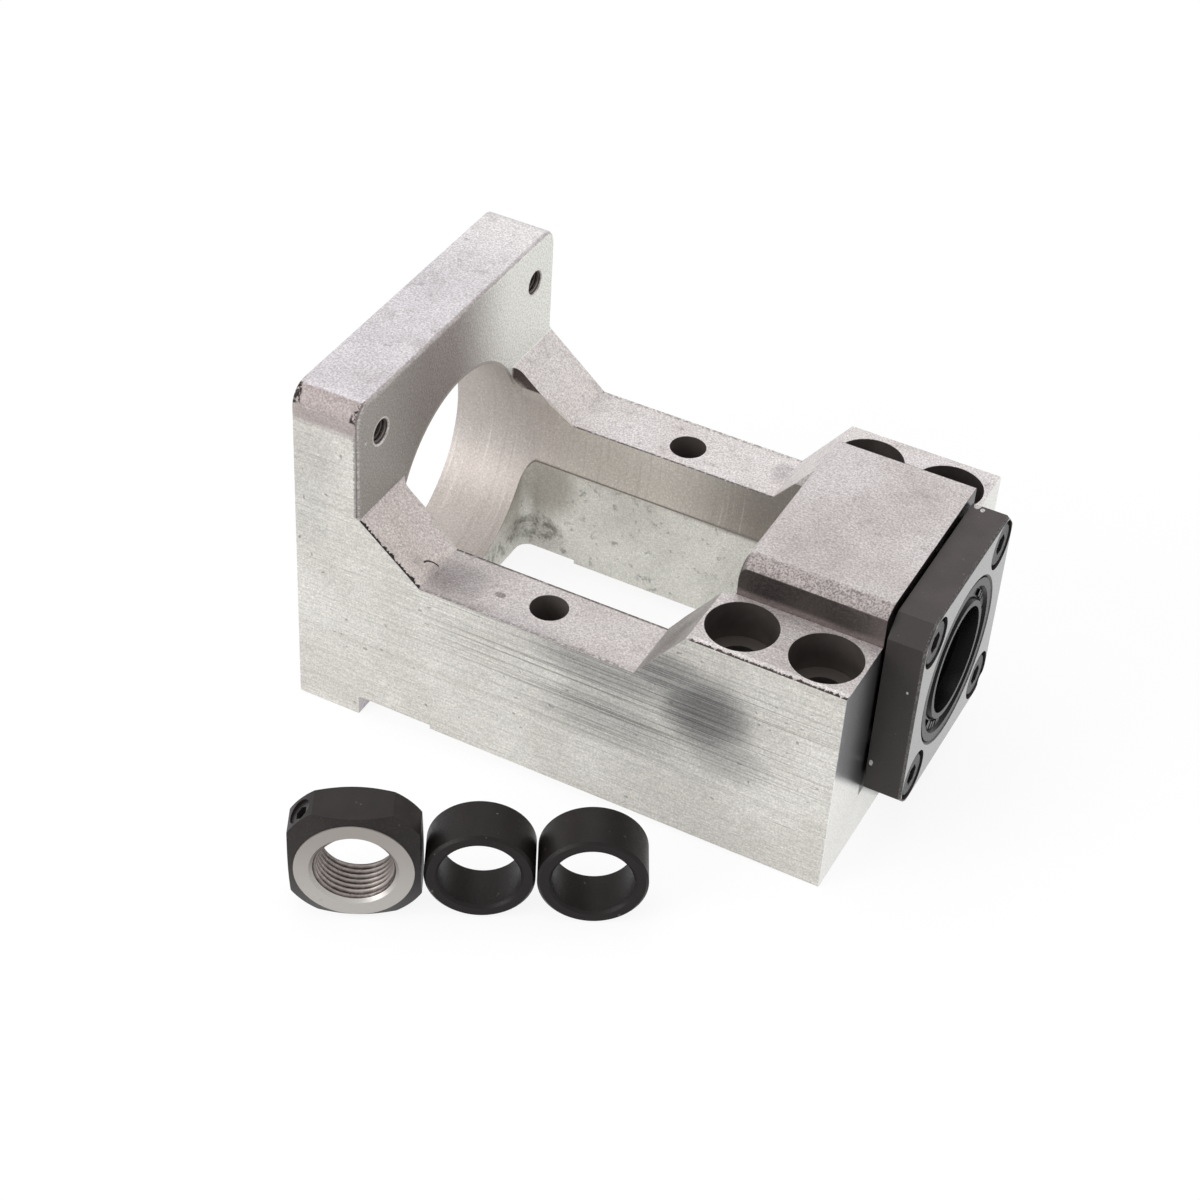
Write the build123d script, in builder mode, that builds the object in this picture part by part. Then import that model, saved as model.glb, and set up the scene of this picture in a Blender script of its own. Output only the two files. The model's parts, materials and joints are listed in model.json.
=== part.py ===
from build123d import *
import math
import os

# Motor bracket for a 12 mm screw shaft: a cast and milled body with a motor flange at one end
# and a housing for two angular contact bearings at the other, closed by a square cover.
# Millimetres. The origin is on the shaft axis at the motor face, +X points to the cover, +Z up.

# Body outline, seen from the side
body_length = 90.5
body_width = 60.0
axis_height = 25.0
flange_thickness = 11.2
flange_rise = 31.1
flange_corner_radius = 3.3
foot_drop = 2.9
foot_length = 10.9
relief_end = 23.9
relief_height = 0.7
gusset_rise = 11.1
gusset_end = 21.7
gusset_gap = 35.8
gusset_root_radius = 1.6
ledge_rise = 2.3
slope_run = 7.6
shoulder_length = 25.1
shoulder_rise = 12.15
soft_edge = 0.8

# Coupling chamber between the flange and the bearing housing
chamber_radius = 18.7
chamber_corner = 1.9
window_start = 13.9
window_to_housing = 7.8
window_half_width = 17.7
window_corner = 2.2

# Bearing housing
housing_length = 23.2
hump_width = 34.0
hump_rise = 18.5
hump_cast_radius = 4.2
hump_milled_off = 1.1
hump_end_radius = 1.5
rear_wall = 5.2
rear_seal_seat_depth = 4.2
rear_shoulder_radius = 10.6
fit_clearance = 0.01

# Motor side
pilot_radius = 19.1
pilot_depth = 4.6
motor_bolt_square = 47.14
motor_tap_radius = 2.0
motor_tap_depth = 9.6
tap_mouth = 0.15

# Holes that fasten the bracket
base_bolt_inset = 6.1
base_bolt_pitch = 13.2
base_bolt_span = 46.4
base_bolt_radius = 3.3
base_counterbore_radius = 5.5
base_counterbore_depth = 6.5
ledge_hole_place = 40.4
ledge_hole_span = 47.0
ledge_hole_radius = 3.0

# Bearings, two of 12 x 28 x 8
shaft_diameter = 12.0
bearing_outside = 28.0
bearing_width = 8.0
ball_diameter = 4.762
ball_count = 10
ball_clearance = 0.12
shoulder_reach = 1.6
relief_taper = 0.2
ring_chamfer = 0.4
bore_chamfer = 0.3
cage_to_shoulder = 0.7
cage_width = 6.4
cage_pocket_clearance = 0.07

# Bearing cover
cover_side = 35.0
cover_thickness = 5.9
cover_gap = 0.5
cover_corner = 3.0
cover_bevel = 0.4
cover_bore_radius = 11.0
spigot_clearance = 0.05
cover_screw_square = 26.0
cover_counterbore_radius = 4.0
cover_counterbore_depth = 4.2
opening_chamfer = 0.5

# Cover screws
screw_diameter = 4.0
screw_length = 12.0
screw_head_diameter = 7.0
screw_head_height = 4.0
screw_socket = 3.0
screw_socket_depth = 2.0
screw_edge = 0.3
screw_running_room = 0.2
thread_room = 0.02
screw_hole_spare = 2.0

# Shaft seals
cover_seal_outside = 26.0
cover_seal_width = 5.0
rear_seal_outside = 25.0
rear_seal_width = 4.0
seal_rim = 1.3
seal_recess = 0.7
seal_nose_radius = 9.4
seal_mouth_radius = 8.5
seal_neck = 1.3
lip_clearance = 0.1
seal_sink = 0.1

# Spacer collars, which run in the seals
collar_outside = 16.1
collar_length = 7.9
collar_chamfer = 0.4

# Lock nut for the shaft's end
nut_across_flats = 19.0
nut_outside = 22.2
nut_thickness = 8.0
nut_ring_radius = 8.7
nut_ring_height = 0.3
nut_cone_angle = 30.0
nut_thread_radius = 6.0
nut_mouth_radius = 6.5
nut_screw_diameter = 4.0
nut_screw_length = 3.2
nut_screw_sink = 0.5
nut_screw_socket = 2.0
nut_screw_socket_depth = 1.5
nut_screw_side = 135.0
pad_length = 1.3

# Loose pieces, which stand in a row on the surface that the bracket stands on
row_turn = 27.1
row_start = (23.3, -68.2)
row_gaps = (0.35, 0.2)
collar_setbacks = (0.7, 0.0)

# Sizes that follow from those above
half_width = body_width / 2
base_level = -axis_height
foot_level = base_level - foot_drop
housing_start = body_length - housing_length
slope_end = body_length - shoulder_length
slope_start = slope_end - slope_run
window_end = housing_start - window_to_housing
pocket_floor = housing_start + rear_wall
rear_bearing_start = pocket_floor
front_bearing_start = rear_bearing_start + bearing_width
bearing_stack_end = front_bearing_start + bearing_width
cover_back = body_length + cover_gap
cover_face = cover_back + cover_thickness
screw_seat = cover_face - cover_counterbore_depth
pocket_radius = bearing_outside / 2 + fit_clearance
ball_radius = ball_diameter / 2
groove_radius = ball_radius + ball_clearance
pitch_radius = (shaft_diameter + bearing_outside) / 4
outer_shoulder_radius = pitch_radius + shoulder_reach
inner_shoulder_radius = pitch_radius - shoulder_reach
outer_groove_radius = pitch_radius + groove_radius
inner_groove_radius = pitch_radius - groove_radius
outer_relief_radius = outer_groove_radius + relief_taper
groove_half = math.sqrt(groove_radius**2 - shoulder_reach**2)
cage_outside = outer_shoulder_radius - cage_to_shoulder
cage_inside = inner_shoulder_radius + cage_to_shoulder
collar_radius = collar_outside / 2
lip_radius = collar_radius + lip_clearance
rest_tilt = math.degrees(math.atan2(foot_drop, body_length - foot_length))

os.makedirs("parts", exist_ok=True)


def keep(builder, name):
    """Label a finished piece and write it."""
    builder.part.label = name
    export_step(builder.part, f"parts/{name}.step")


# Hump of the bearing housing: cast with a round near edge, then milled at both sides
with BuildPart() as hump:
    with BuildSketch(Plane.YZ.offset(housing_start)) as hump_view:
        with Locations((0, base_level)):
            Rectangle(
                hump_width + 2 * hump_milled_off,
                hump_rise - base_level,
                align=(Align.CENTER, Align.MIN),
            )
        near_top = hump_view.vertices().group_by(Axis.Y)[-1].sort_by(Axis.X)[0]
        fillet(near_top, hump_cast_radius)
    extrude(amount=housing_length)
    front_edges = hump.faces().sort_by(Axis.X)[0].edges()
    fillet(front_edges.sort_by(Axis.Z)[1:], hump_end_radius)
    with BuildSketch(Plane.YZ.offset(housing_start)) as milled_view:
        Rectangle(hump_width, 2 * axis_height + 2 * hump_rise)
    extrude(amount=housing_length, mode=Mode.INTERSECT)

# Bracket body: one casting, milled on its sides, ends, seats and base
with BuildPart() as bracket_body:
    with BuildSketch(Plane.XZ) as side_view:
        with BuildLine():
            Polyline(
                (0, foot_level),
                (foot_length, foot_level),
                (foot_length, base_level + relief_height),
                (relief_end, base_level + relief_height),
                (relief_end, base_level),
                (body_length, base_level),
                (body_length, shoulder_rise),
                (slope_end, shoulder_rise),
                (slope_start, ledge_rise),
                (gusset_end, ledge_rise),
                (flange_thickness, gusset_rise),
                (flange_thickness, flange_rise),
                (0, flange_rise),
                close=True,
            )
        make_face()
    extrude(amount=half_width, both=True)

    # rounded top corners of the flange, and the soft cast rim round its inner face
    flange_corners = bracket_body.edges().filter_by(Axis.X).group_by(Axis.Z)[-1]
    fillet(flange_corners, flange_corner_radius)
    inner_face = bracket_body.faces().filter_by(Plane.YZ).filter_by(
        lambda face: abs(face.center().X - flange_thickness) < fit_clearance
    )
    rim = inner_face.edges().filter_by(lambda edge: edge.center().Z > gusset_rise + soft_edge)
    fillet(rim, soft_edge)

    # coupling chamber: a round bore, and straight cast walls between the gussets
    with BuildSketch(Plane.YZ.offset(flange_thickness)) as chamber_view:
        Circle(chamber_radius)
    extrude(amount=housing_start - flange_thickness, mode=Mode.SUBTRACT)
    with BuildSketch(Plane.XY) as gap_view:
        with Locations((flange_thickness, 0)):
            Rectangle(housing_start - flange_thickness, gusset_gap, align=(Align.MIN, Align.CENTER))
        fillet(gap_view.vertices().group_by(Axis.X)[0], gusset_root_radius)
    extrude(amount=flange_rise, mode=Mode.SUBTRACT)
    end_wall = bracket_body.faces().filter_by(Plane.YZ).filter_by(
        lambda face: abs(face.center().X - housing_start) < fit_clearance
    )
    end_corner = end_wall.edges().filter_by(lambda edge: edge.center().Z < shoulder_rise - soft_edge)
    fillet(end_corner, chamber_corner)

    # window through the chamber floor
    window_centre = (window_start + window_end) / 2
    with BuildSketch(Plane.XY.offset(foot_level)) as window_view:
        with Locations((window_centre, 0)):
            RectangleRounded(window_end - window_start, 2 * window_half_width, window_corner)
    extrude(amount=-foot_level, mode=Mode.SUBTRACT)

    # the hump stands over the bearings
    add(hump.part)

    # bore of the flange, with the recess for the motor's pilot
    with BuildSketch(Plane.YZ) as bore_view:
        Circle(chamber_radius)
    extrude(amount=flange_thickness, mode=Mode.SUBTRACT)
    with BuildSketch(Plane.YZ) as pilot_view:
        Circle(pilot_radius)
    extrude(amount=pilot_depth, mode=Mode.SUBTRACT)

    # bearing pocket from the cover's side, and the seat of the rear seal from the chamber
    with BuildSketch(Plane.YZ.offset(pocket_floor)) as pocket_view:
        Circle(pocket_radius)
    extrude(amount=body_length - pocket_floor, mode=Mode.SUBTRACT)
    with BuildSketch(Plane.YZ.offset(housing_start)) as shoulder_view:
        Circle(rear_shoulder_radius)
    extrude(amount=rear_wall, mode=Mode.SUBTRACT)
    with BuildSketch(Plane.YZ.offset(housing_start)) as seal_seat_view:
        Circle(rear_seal_outside / 2 + fit_clearance)
    extrude(amount=rear_seal_seat_depth, mode=Mode.SUBTRACT)

    # tapped holes for the motor: the upper two go through, the lower two end in the foot
    tap_offset = motor_bolt_square / 2
    with BuildSketch(Plane.YZ) as upper_taps:
        with Locations((-tap_offset, tap_offset), (tap_offset, tap_offset)):
            Circle(motor_tap_radius)
    extrude(amount=flange_thickness, mode=Mode.SUBTRACT)
    with BuildSketch(Plane.YZ) as lower_taps:
        with Locations((-tap_offset, -tap_offset), (tap_offset, -tap_offset)):
            Circle(motor_tap_radius)
    extrude(amount=motor_tap_depth, mode=Mode.SUBTRACT)
    tap_mouths = bracket_body.edges().filter_by(GeomType.CIRCLE).filter_by(
        lambda edge: abs(edge.radius - motor_tap_radius) < fit_clearance
        and abs(edge.center().X - flange_thickness) < fit_clearance
    )
    chamfer(tap_mouths, tap_mouth)

    # counterbored holes for the base bolts, and the plain holes in the two ledges
    bolt_middle = body_length - base_bolt_inset - base_bolt_pitch / 2
    with Locations(Plane.XY.offset(shoulder_rise)):
        with Locations((bolt_middle, 0)):
            with GridLocations(base_bolt_pitch, base_bolt_span, 2, 2):
                CounterBoreHole(base_bolt_radius, base_counterbore_radius, base_counterbore_depth)
    with Locations(Plane.XY.offset(ledge_rise)):
        with Locations((ledge_hole_place, 0)):
            with GridLocations(ledge_hole_span, ledge_hole_span, 1, 2):
                Hole(ledge_hole_radius)

    # tapped holes for the cover's screws
    with Locations(Plane.YZ.offset(body_length)):
        with GridLocations(cover_screw_square, cover_screw_square, 2, 2):
            Hole(
                screw_diameter / 2 + thread_room,
                depth=screw_length - (screw_seat - body_length) + screw_hole_spare,
            )
keep(bracket_body, "bracket_body")

# Bearing cover: square plate with a spigot that clamps the bearings' outer rings
with BuildPart() as bearing_cover:
    with BuildSketch(Plane.YZ.offset(cover_back)) as plate_view:
        Rectangle(cover_side, cover_side)
        chamfer(plate_view.vertices(), cover_corner)
    extrude(amount=cover_thickness)
    chamfer(bearing_cover.faces().sort_by(Axis.X)[-1].edges(), cover_bevel)
    with BuildSketch(Plane.YZ.offset(bearing_stack_end)) as spigot_view:
        Circle(bearing_outside / 2 - spigot_clearance)
    extrude(amount=cover_back - bearing_stack_end)
    with BuildSketch(Plane.YZ.offset(bearing_stack_end)) as cover_bore_view:
        Circle(cover_bore_radius)
    extrude(amount=cover_face - bearing_stack_end, mode=Mode.SUBTRACT)
    with BuildSketch(Plane.YZ.offset(cover_face)) as seal_seat:
        Circle(cover_seal_outside / 2 + fit_clearance)
    extrude(amount=-(cover_seal_width + seal_sink), mode=Mode.SUBTRACT)
    opening = bearing_cover.edges().filter_by(GeomType.CIRCLE).sort_by(Axis.X)[-1]
    chamfer(opening, opening_chamfer)
    with Locations(Plane.YZ.offset(cover_face)):
        with GridLocations(cover_screw_square, cover_screw_square, 2, 2):
            CounterBoreHole(
                screw_diameter / 2 + screw_running_room,
                cover_counterbore_radius,
                cover_counterbore_depth,
            )
keep(bearing_cover, "bearing_cover")

# Cover screws: socket heads, sunk in the cover
screw_offset = cover_screw_square / 2
screw_places = [(-1, 1), (1, 1), (1, -1), (-1, -1)]
for number, (side, level) in enumerate(screw_places, start=1):
    screw_plane = Plane.YZ.offset(screw_seat).shift_origin(
        Vector(screw_seat, side * screw_offset, level * screw_offset)
    )
    with BuildPart() as cover_screw:
        with BuildSketch(screw_plane):
            Circle(screw_head_diameter / 2)
        extrude(amount=screw_head_height)
        chamfer(cover_screw.faces().sort_by(Axis.X)[-1].edges(), screw_edge)
        with BuildSketch(screw_plane):
            Circle(screw_diameter / 2)
        extrude(amount=-screw_length)
        chamfer(cover_screw.faces().sort_by(Axis.X)[0].edges(), screw_edge)
        with BuildSketch(screw_plane.offset(screw_head_height)):
            RegularPolygon(screw_socket / 2, 6, major_radius=False)
        extrude(amount=-screw_socket_depth, mode=Mode.SUBTRACT)
    keep(cover_screw, f"cover_screw_{number}")


def shaft_seal(inner_end, outer_end, outside):
    """Revolve a lip seal between two places on the axis, its open face at outer_end."""
    step = 1 if outer_end > inner_end else -1
    width = abs(outer_end - inner_end)
    rim_radius = outside / 2 - seal_rim
    with BuildPart() as seal:
        with BuildSketch(Plane.XY):
            with BuildLine():
                Polyline(
                    (inner_end, outside / 2),
                    (outer_end, outside / 2),
                    (outer_end, rim_radius),
                    (outer_end - step * seal_recess, rim_radius - seal_recess / 2),
                    (outer_end - step * seal_recess, seal_nose_radius + seal_recess / 2),
                    (outer_end, seal_nose_radius),
                    (outer_end, seal_mouth_radius),
                    (outer_end - step * width / 2, lip_radius),
                    (outer_end - step * (width / 2 + seal_recess), lip_radius),
                    (inner_end, lip_radius + seal_neck),
                    (inner_end, lip_radius + 2 * seal_neck),
                    (outer_end - step * (width / 2 + seal_recess), lip_radius + seal_neck),
                    (outer_end - step * 2 * seal_recess, lip_radius + 2 * seal_neck),
                    (outer_end - step * 2 * seal_recess, rim_radius),
                    (inner_end, rim_radius),
                    close=True,
                )
            make_face()
        revolve(axis=Axis.X)
    return seal


cover_seal_start = cover_face - seal_sink - cover_seal_width
cover_seal = shaft_seal(cover_seal_start, cover_seal_start + cover_seal_width, cover_seal_outside)
keep(cover_seal, "cover_seal")
rear_seal_end = housing_start + rear_seal_seat_depth
rear_seal = shaft_seal(rear_seal_end, rear_seal_end - rear_seal_width, rear_seal_outside)
keep(rear_seal, "rear_seal")

# Bearings: an angular contact pair, with the low shoulders of the outer rings facing each other
ring_middle = bearing_width / 2
for place, thrust_face, step in (
    ("rear", rear_bearing_start, 1),
    ("front", bearing_stack_end, -1),
):
    ball_plane = thrust_face + step * ring_middle
    far_face = thrust_face + step * bearing_width
    with BuildPart() as outer_ring:
        with BuildSketch(Plane.XY):
            with BuildLine():
                outside_line = Polyline(
                    (ball_plane, outer_groove_radius),
                    (far_face, outer_relief_radius),
                    (far_face, bearing_outside / 2 - ring_chamfer),
                    (far_face - step * ring_chamfer, bearing_outside / 2),
                    (thrust_face + step * ring_chamfer, bearing_outside / 2),
                    (thrust_face, bearing_outside / 2 - ring_chamfer),
                    (thrust_face, outer_shoulder_radius),
                    (ball_plane - step * groove_half, outer_shoulder_radius),
                )
                RadiusArc(outside_line @ 1, outside_line @ 0, step * groove_radius)
            make_face()
        revolve(axis=Axis.X)
    keep(outer_ring, f"{place}_bearing_outer_ring")

    with BuildPart() as inner_ring:
        with BuildSketch(Plane.XY):
            with BuildLine():
                inside_line = Polyline(
                    (ball_plane + step * groove_half, inner_shoulder_radius),
                    (far_face, inner_shoulder_radius),
                    (far_face, shaft_diameter / 2 + bore_chamfer),
                    (far_face - step * bore_chamfer, shaft_diameter / 2),
                    (thrust_face + step * bore_chamfer, shaft_diameter / 2),
                    (thrust_face, shaft_diameter / 2 + bore_chamfer),
                    (thrust_face, inner_shoulder_radius),
                    (ball_plane - step * groove_half, inner_shoulder_radius),
                )
                ThreePointArc(inside_line @ 1, (ball_plane, inner_groove_radius), inside_line @ 0)
            make_face()
        revolve(axis=Axis.X)
    keep(inner_ring, f"{place}_bearing_inner_ring")

    with BuildPart(Plane.YZ.offset(ball_plane)) as cage:
        Cylinder(cage_outside, cage_width)
        Cylinder(cage_inside, cage_width, mode=Mode.SUBTRACT)
        with PolarLocations(pitch_radius, ball_count):
            Cylinder(
                ball_radius + cage_pocket_clearance,
                cage_outside - cage_inside + ball_radius,
                rotation=(0, 90, 0),
                mode=Mode.SUBTRACT,
            )
    keep(cage, f"{place}_bearing_cage")

    with BuildPart(Plane.YZ.offset(ball_plane)) as balls:
        with PolarLocations(pitch_radius, ball_count):
            Sphere(ball_radius)
    keep(balls, f"{place}_bearing_balls")

# Surface under the bracket: it stands on the foot's edge and on the far edge of its base
floor_x = Vector(1, 0, 0).rotate(Axis.Y, -rest_tilt)
floor_up = Vector(0, 0, 1).rotate(Axis.Y, -rest_tilt)
floor_plane = Plane(origin=(foot_length, 0, foot_level), x_dir=floor_x, z_dir=floor_up)
row_plane = Plane(
    origin=floor_plane.from_local_coords(Vector(*row_start, 0)),
    x_dir=floor_x.rotate(Axis((0, 0, 0), floor_up), row_turn),
    z_dir=floor_up,
)


def standing_plane(along, setback, height):
    """Plane of a loose piece's front face: x along the row, y up, z towards the viewer."""
    return Plane(
        origin=row_plane.from_local_coords(Vector(along, setback, height)),
        x_dir=row_plane.x_dir,
        z_dir=-row_plane.y_dir,
    )


# Lock nut: round with four flats, a ground ring on its front, bore at the nominal size of its thread
nut_plane = standing_plane(0, 0, nut_across_flats / 2)
nut_body_front = -nut_ring_height
nut_cone_depth = (nut_outside / 2 - nut_ring_radius) * math.tan(math.radians(nut_cone_angle))
nut_mouth_depth = nut_mouth_radius - nut_thread_radius
nut_section = Plane(origin=nut_plane.origin, x_dir=nut_plane.x_dir, z_dir=-nut_plane.y_dir)
nut_axis = Axis(nut_plane.origin, nut_plane.z_dir)
with BuildPart() as lock_nut:
    with BuildSketch(nut_section):
        with BuildLine():
            Polyline(
                (nut_mouth_radius, 0),
                (nut_ring_radius, 0),
                (nut_ring_radius, nut_body_front),
                (nut_outside / 2, nut_body_front - nut_cone_depth),
                (nut_outside / 2, nut_cone_depth - nut_thickness),
                (nut_ring_radius, -nut_thickness),
                (nut_mouth_radius, -nut_thickness),
                (nut_thread_radius, nut_mouth_depth - nut_thickness),
                (nut_thread_radius, -nut_mouth_depth),
                close=True,
            )
        make_face()
    revolve(axis=nut_axis)
    with BuildSketch(nut_plane) as nut_flats:
        Rectangle(2 * nut_outside, 2 * nut_outside)
        Rectangle(nut_across_flats, nut_across_flats, mode=Mode.SUBTRACT)
    extrude(amount=-nut_thickness, mode=Mode.SUBTRACT)
    screw_way = nut_plane.x_dir.rotate(nut_axis, nut_screw_side)
    nut_centre = nut_plane.origin - nut_plane.z_dir * (nut_thickness / 2)
    nut_screw_plane = Plane(origin=nut_centre, x_dir=nut_plane.z_dir, z_dir=screw_way)
    with BuildSketch(nut_screw_plane):
        Circle(nut_screw_diameter / 2 + thread_room)
    extrude(amount=nut_outside, mode=Mode.SUBTRACT)
keep(lock_nut, "lock_nut")

screw_top = nut_outside / 2 - nut_screw_sink
with BuildPart() as nut_set_screw:
    with BuildSketch(nut_screw_plane.offset(screw_top)):
        Circle(nut_screw_diameter / 2)
    extrude(amount=-nut_screw_length)
    with BuildSketch(nut_screw_plane.offset(screw_top)):
        RegularPolygon(nut_screw_socket / 2, 6, major_radius=False)
    extrude(amount=-nut_screw_socket_depth, mode=Mode.SUBTRACT)
keep(nut_set_screw, "nut_set_screw")

with BuildPart() as nut_thread_pad:
    with BuildSketch(nut_screw_plane.offset(screw_top - nut_screw_length)):
        Circle(nut_screw_diameter / 2)
    extrude(amount=-pad_length)
keep(nut_thread_pad, "nut_thread_pad")

# Spacer collars: plain rings with small chamfers
collar_along = nut_across_flats / 2
for number, (gap, setback) in enumerate(zip(row_gaps, collar_setbacks), start=1):
    collar_along += gap + collar_radius
    collar_plane = standing_plane(collar_along, setback, collar_radius)
    with BuildPart() as spacer_collar:
        with BuildSketch(collar_plane):
            Circle(collar_radius)
            Circle(shaft_diameter / 2, mode=Mode.SUBTRACT)
        extrude(amount=-collar_length)
        chamfer(spacer_collar.edges().filter_by(GeomType.CIRCLE), collar_chamfer)
    keep(spacer_collar, f"spacer_collar_{number}")
    collar_along += collar_radius
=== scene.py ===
import json
from functools import reduce
from types import SimpleNamespace

import bpy
import numpy as np
from mathutils import Matrix, Vector


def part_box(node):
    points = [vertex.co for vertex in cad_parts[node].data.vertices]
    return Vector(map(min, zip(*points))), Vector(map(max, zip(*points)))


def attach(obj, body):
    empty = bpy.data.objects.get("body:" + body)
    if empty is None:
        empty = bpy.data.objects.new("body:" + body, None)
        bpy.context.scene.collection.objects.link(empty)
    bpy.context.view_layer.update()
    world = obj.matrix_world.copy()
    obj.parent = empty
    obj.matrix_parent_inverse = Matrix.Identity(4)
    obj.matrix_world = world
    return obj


# Looks of the motor bracket: cast and milled body, black cover, lock nut and spacer collars.
# Lengths are in millimetres, and MM turns them into metres.
MM = 0.001

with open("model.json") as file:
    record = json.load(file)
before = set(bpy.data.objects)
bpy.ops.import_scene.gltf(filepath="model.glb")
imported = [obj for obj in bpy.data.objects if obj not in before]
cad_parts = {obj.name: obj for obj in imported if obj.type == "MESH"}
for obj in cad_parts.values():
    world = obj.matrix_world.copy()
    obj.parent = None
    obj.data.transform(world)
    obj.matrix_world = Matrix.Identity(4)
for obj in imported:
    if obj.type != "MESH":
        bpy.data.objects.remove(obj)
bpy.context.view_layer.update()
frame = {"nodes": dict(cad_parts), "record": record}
nodes = frame["nodes"]
mounts = {mount["name"]: mount for mount in frame["record"]["mounts"]}


# Places and sizes that the frame gives
body_low, body_high = (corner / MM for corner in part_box("bracket_body"))
cover_low, cover_high = (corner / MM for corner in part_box("bearing_cover"))
half_width = body_high.y
end_face = body_high.x
foot_level = body_low.z
pad_level = mounts["base_face"]["pos_m"][2] / MM
base_bolts = mounts["base_bolts"]
ledge_bolts = mounts["ledge_bolts"]
motor_bolts = mounts["motor_bolts"]
nut_thread = mounts["lock_nut_thread"]
tap_radius = motor_bolts["dims"]["hole_r_mm"]
tap_step = motor_bolts["dims"]["spacing_x_mm"] / 2

# Places and sizes of the solids that the frame doesn't list
foot_length = 10.9
flange_thickness = 11.2
flange_gusset_rise = 11.1
corner_milled = 25.5
gusset_inside = 17.9
gusset_end = 21.7
ledge_rise = 2.3
chamber_radius = 18.7
window_half = 17.7
slope_top = 65.4
housing_start = 67.3
shoulder_rise = 12.15
hump_half = 17.0
counterbore_radius = 5.5
seal_recess = 0.7
tap_core = 1.62
tap_pitch = 0.7
tap_depth = 9.6
tap_mouth = 0.15
nut_thickness = 8.0
nut_ring_radius = 8.7
nut_mouth_radius = 6.5
nut_core = 5.46
nut_pitch = 1.0

# The foot and the base's far end stand on the floor, which slopes by this much along x
rest_slope = (pad_level - foot_level) / (end_face - foot_length)

# Marks on the bracket, and patches of painted shade in its window: the middle and the reach of each on
# the face it lies on, some with a share
ledge_stains = (
    ((25.5, -25.0), (6.5, 5.5), 0.85),
    ((56.2, 25.5), (2.2, 3.0), 0.5),
    ((38.0, -29.5), (16.0, 2.5), 0.5),
)
corner_spots = (((10.9, 28.3), (1.5, 3.4)), ((0.1, 29.3), (1.3, 2.2)))
flange_nicks = (((-27.8, 24.0), (0.5, 0.35)), ((-25.0, 22.2), (0.6, 0.3)))
gusset_nick = ((20.9, -19.5), (1.6, 0.9))
ledge_spot = ((32.7, -24.7), (1.1, 0.75))
milling_streaks = ((58.0, -1.0), (42.0, 15.0))
side_dark_patches = (
    ((69.5, 0.0), (9.5, 8.5), 1.0),
    ((63.0, 4.5), (10.0, 5.0), 0.8),
    ((53.0, 0.5), (15.0, 5.0), 0.5),
    ((74.0, -7.0), (8.0, 6.0), 0.4),
    ((54.0, -8.5), (13.0, 7.0), 0.35),
    ((3.0, 19.0), (6.0, 8.0), 0.2),
    ((2.0, 10.0), (5.0, 9.0), 0.2),
)
# Painted shade on the window's wall next to the flange, and deeper in its corner there
window_shade = ((18.0, -10.0), (7.0, 9.0))
window_corner_shade = ((17.0, -20.5), (6.0, 4.0))

# A crack bent round a centre, and the part of that round where it shows
crack_centre = (21.9, -25.8)
crack_bend = 2.0
crack_shown = ((20.5, -24.5), (1.5, 1.5))

# Chips on the cover: the middle and the reach of each
cover_top_chips = (((91.9, 14.6), (0.75, 1.5)), ((92.9, 13.6), (0.45, 0.6)))
cover_side_chips = (((91.6, -9.4), (0.4, 0.7)), ((95.2, 6.1), (0.25, 0.3)))

# Marks on the cover's seal: the angles at which each starts and stops, and their size
seal_mark_spans = (
    (47, 41), (38, 33), (30, 16), (12, 2), (-102, -112), (-116, -121), (-124, -129), (-133, -141),
)
seal_mark_inside = 10.0
seal_mark_outside = 11.1
seal_mark_height = 0.3


def colour(red, green, blue):
    """A display colour of 0 to 255 per channel, as the linear colour that a shader takes."""
    shares = [value / 255 for value in (red, green, blue)]
    linear = [s / 12.92 if s <= 0.04045 else ((s + 0.055) / 1.055) ** 2.4 for s in shares]
    return (*linear, 1.0)


# Building blocks of a material


def new_material(name):
    """An empty material with a principled shader joined to its output."""
    material = bpy.data.materials.new(name)
    material.use_nodes = True
    tree = material.node_tree
    tree.nodes.clear()
    shader = tree.nodes.new("ShaderNodeBsdfPrincipled")
    output = tree.nodes.new("ShaderNodeOutputMaterial")
    tree.links.new(shader.outputs[0], output.inputs["Surface"])
    return material, tree, shader


def new_node(kind, *values):
    """A node of this kind in the tree that the first socket among the values belongs to."""
    sockets = (value for value in values if isinstance(value, bpy.types.NodeSocket))
    return next(sockets).id_data.nodes.new(kind)


def feed(socket, value):
    """Join a socket to the input, or set the input to a plain value."""
    if isinstance(value, bpy.types.NodeSocket):
        socket.id_data.links.new(value, socket)
    else:
        socket.default_value = value


def calc(operation, first, second=0.0, clamp=False):
    """One step of arithmetic on two values."""
    node = new_node("ShaderNodeMath", first, second)
    node.operation = operation
    node.use_clamp = clamp
    feed(node.inputs[0], first)
    feed(node.inputs[1], second)
    return node.outputs[0]


def plus(first, second):
    """The sum of two values."""
    return calc("ADD", first, second)


def minus(first, second):
    """The first value less the second."""
    return calc("SUBTRACT", first, second)


def times(first, second):
    """The product of two values."""
    return calc("MULTIPLY", first, second)


def distance(first, second):
    """Length of the slant over two values at right angles."""
    return calc("SQRT", plus(calc("POWER", first, 2.0), calc("POWER", second, 2.0)))


def all_of(*masks):
    """Where every one of the masks holds: their product."""
    return reduce(times, masks)


def any_of(*masks):
    """Where any of the masks holds: the largest of them."""
    return reduce(lambda first, second: calc("MAXIMUM", first, second), masks)


def ramp(value, low, high, bottom=0.0, top=1.0):
    """Runs smoothly from bottom to top while value goes from low to high."""
    node = new_node("ShaderNodeMapRange", value)
    node.interpolation_type = "SMOOTHSTEP"
    feed(node.inputs["Value"], value)
    node.inputs["From Min"].default_value = low
    node.inputs["From Max"].default_value = high
    node.inputs["To Min"].default_value = bottom
    node.inputs["To Max"].default_value = top
    return node.outputs["Result"]


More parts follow.
